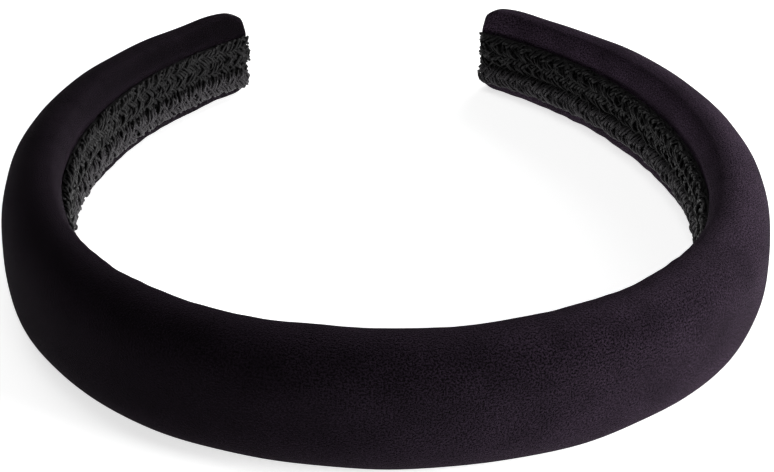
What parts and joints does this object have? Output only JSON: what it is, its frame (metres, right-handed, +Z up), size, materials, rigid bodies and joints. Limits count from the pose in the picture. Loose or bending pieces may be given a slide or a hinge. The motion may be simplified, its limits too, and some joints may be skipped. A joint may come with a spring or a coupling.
{
  "type": "headband",
  "caption": "U-shaped padded headband: sprung flat core, crowned foam pad in a soft pile cover, braided trim along the inner face.",
  "frame": {"origin": "on the surface the band stands on, below the middle of the band's box", "axes": "+Z up, across the width of the band; the crown faces -Y and the two tips point to +Y; X is left to right, and the band is symmetric about X = 0"},
  "size_m": [0.1448, 0.1575, 0.025],
  "materials": {
    "velvet": "matte",
    "braid": "satin",
    "foam": "matte",
    "core_plastic": "satin",
    "mounting_tape": "satin",
    "glue": "gloss"
  },
  "bodies": {
    "crown": {"core_crown": "core_plastic", "foam_tape_crown": "mounting_tape", "foam_crown": "foam", "cover_crown": "velvet", "braid_tape_crown": "mounting_tape", "braid_crown": "braid"},
    "left_arm": {"core_left": "core_plastic", "foam_tape_left": "mounting_tape", "foam_left": "foam", "cover_left": "velvet", "cover_end_left": "velvet", "braid_tape_left": "mounting_tape", "braid_left": "braid", "glue_dab_left": "glue"},
    "right_arm": {"core_right": "core_plastic", "foam_tape_right": "mounting_tape", "foam_right": "foam", "cover_right": "velvet", "cover_end_right": "velvet", "braid_tape_right": "mounting_tape", "braid_right": "braid", "glue_dab_right": "glue"}
  },
  "joints": [
    {"name": "left_arm_flex", "type": "hinge", "parent": "crown", "child": "left_arm", "pos_m": [-0.05267, -0.05798, 0.0125], "axis": [0, 0, 1], "range_deg": [0, 14], "stiffness_Nm_per_rad": 1.3},
    {"name": "right_arm_flex", "type": "hinge", "parent": "crown", "child": "right_arm", "pos_m": [0.05267, -0.05798, 0.0125], "axis": [0, 0, -1], "range_deg": [0, 14], "stiffness_Nm_per_rad": 1.3}
  ]
}
